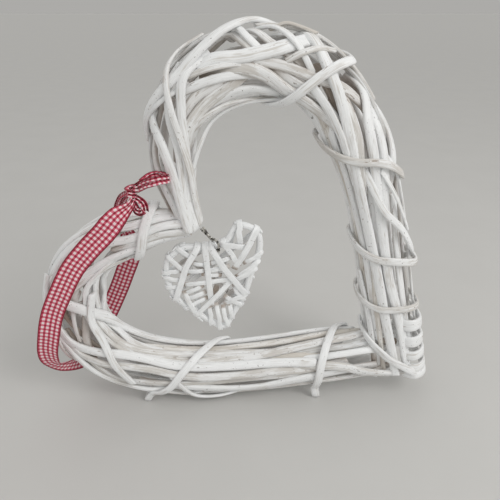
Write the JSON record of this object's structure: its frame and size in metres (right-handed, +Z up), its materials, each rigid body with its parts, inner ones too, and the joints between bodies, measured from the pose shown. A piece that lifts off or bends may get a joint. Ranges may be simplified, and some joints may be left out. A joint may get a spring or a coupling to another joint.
{
  "type": "woven heart decoration",
  "caption": "White painted willow heart standing on one side, with a small woven heart wired into its notch and a gingham ribbon tied round one lobe.",
  "frame": {"origin": "middle of the outline, on the surface that the heart stands on", "axes": "+Z up, +X to the right along the heart, +Y to the back"},
  "size_m": [0.2963, 0.0665, 0.2802],
  "materials": {
    "corner_binding": "chipped white paint over willow",
    "hanging_wire": "dull",
    "limb_left_long": "chipped white paint over willow",
    "limb_outer": "chipped white paint over willow",
    "limb_outer_bright": "chipped white paint over willow",
    "lobe_back_over": "chipped white paint over willow",
    "lobe_cross": "chipped white paint over willow",
    "lobe_front": "chipped white paint over willow",
    "lobe_inner_long": "chipped white paint over willow",
    "lobe_over": "chipped white paint over willow",
    "lobe_top": "chipped white paint over willow",
    "lobe_under": "chipped white paint over willow",
    "lower_back_one": "chipped white paint over willow",
    "lower_back_three": "chipped white paint over willow",
    "lower_back_two": "chipped white paint over willow",
    "lower_broad_white": "chipped white paint over willow",
    "lower_end_edge": "chipped white paint over willow",
    "lower_end_over": "chipped white paint over willow",
    "lower_end_upright": "chipped white paint over willow",
    "lower_foot_back": "chipped white paint over willow",
    "lower_foot_front": "chipped white paint over willow",
    "lower_front_bright": "chipped white paint over willow",
    "lower_inner_front": "chipped white paint over willow",
    "lower_inner_top": "chipped white paint over willow",
    "lower_limb_front": "chipped white paint over willow",
    "lower_limb_inner": "chipped white paint over willow",
    "lower_limb_middle": "chipped white paint over willow",
    "lower_limb_outer": "chipped white paint over willow",
    "lower_long_front": "chipped white paint over willow",
    "lower_long_over": "chipped white paint over willow",
    "lower_long_second": "chipped white paint over willow",
    "lower_lowest": "chipped white paint over willow",
    "lower_middle": "chipped white paint over willow",
    "lower_outer_end": "chipped white paint over willow",
    "lower_third": "chipped white paint over willow",
    "pendant_heart": "chipped white paint over willow",
    "ribbon_knot": "red and white gingham",
    "ribbon_long_loop": "red and white gingham",
    "ribbon_short_loop": "red and white gingham",
    "ribbon_tail": "red and white gingham",
    "shoulder_long": "chipped white paint over willow",
    "upper_back_one": "chipped white paint over willow",
    "upper_back_three": "chipped white paint over willow",
    "upper_back_two": "chipped white paint over willow",
    "upper_front_main": "chipped white paint over willow",
    "upper_front_second": "chipped white paint over willow",
    "upper_front_slant": "chipped white paint over willow",
    "upper_front_third": "chipped white paint over willow",
    "upper_inner": "chipped white paint over willow",
    "upper_inner_back": "chipped white paint over willow",
    "upper_inner_front": "chipped white paint over willow",
    "upper_outer_back": "chipped white paint over willow",
    "wrap_corner": "chipped white paint over willow",
    "wrap_foot_left": "chipped white paint over willow",
    "wrap_foot_right": "chipped white paint over willow",
    "wrap_limb": "chipped white paint over willow",
    "wrap_shoulder": "chipped white paint over willow",
    "wrap_side": "chipped white paint over willow",
    "wrap_side_low": "chipped white paint over willow",
    "wrap_tip": "chipped white paint over willow"
  },
  "bodies": {
    "root": {"corner_binding": "corner_binding", "hanging_wire": "hanging_wire", "limb_left_long": "limb_left_long", "limb_outer": "limb_outer", "limb_outer_bright": "limb_outer_bright", "lobe_back_over": "lobe_back_over", "lobe_cross": "lobe_cross", "lobe_front": "lobe_front", "lobe_inner_long": "lobe_inner_long", "lobe_over": "lobe_over", "lobe_top": "lobe_top", "lobe_under": "lobe_under", "lower_back_one": "lower_back_one", "lower_back_three": "lower_back_three", "lower_back_two": "lower_back_two", "lower_broad_white": "lower_broad_white", "lower_end_edge": "lower_end_edge", "lower_end_over": "lower_end_over", "lower_end_upright": "lower_end_upright", "lower_foot_back": "lower_foot_back", "lower_foot_front": "lower_foot_front", "lower_front_bright": "lower_front_bright", "lower_inner_front": "lower_inner_front", "lower_inner_top": "lower_inner_top", "lower_limb_front": "lower_limb_front", "lower_limb_inner": "lower_limb_inner", "lower_limb_middle": "lower_limb_middle", "lower_limb_outer": "lower_limb_outer", "lower_long_front": "lower_long_front", "lower_long_over": "lower_long_over", "lower_long_second": "lower_long_second", "lower_lowest": "lower_lowest", "lower_middle": "lower_middle", "lower_outer_end": "lower_outer_end", "lower_third": "lower_third", "pendant_heart": "pendant_heart", "ribbon_knot": "ribbon_knot", "ribbon_long_loop": "ribbon_long_loop", "ribbon_short_loop": "ribbon_short_loop", "ribbon_tail": "ribbon_tail", "shoulder_long": "shoulder_long", "upper_back_one": "upper_back_one", "upper_back_three": "upper_back_three", "upper_back_two": "upper_back_two", "upper_front_main": "upper_front_main", "upper_front_second": "upper_front_second", "upper_front_slant": "upper_front_slant", "upper_front_third": "upper_front_third", "upper_inner": "upper_inner", "upper_inner_back": "upper_inner_back", "upper_inner_front": "upper_inner_front", "upper_outer_back": "upper_outer_back", "wrap_corner": "wrap_corner", "wrap_foot_left": "wrap_foot_left", "wrap_foot_right": "wrap_foot_right", "wrap_limb": "wrap_limb", "wrap_shoulder": "wrap_shoulder", "wrap_side": "wrap_side", "wrap_side_low": "wrap_side_low", "wrap_tip": "wrap_tip"}
  },
  "joints": []
}
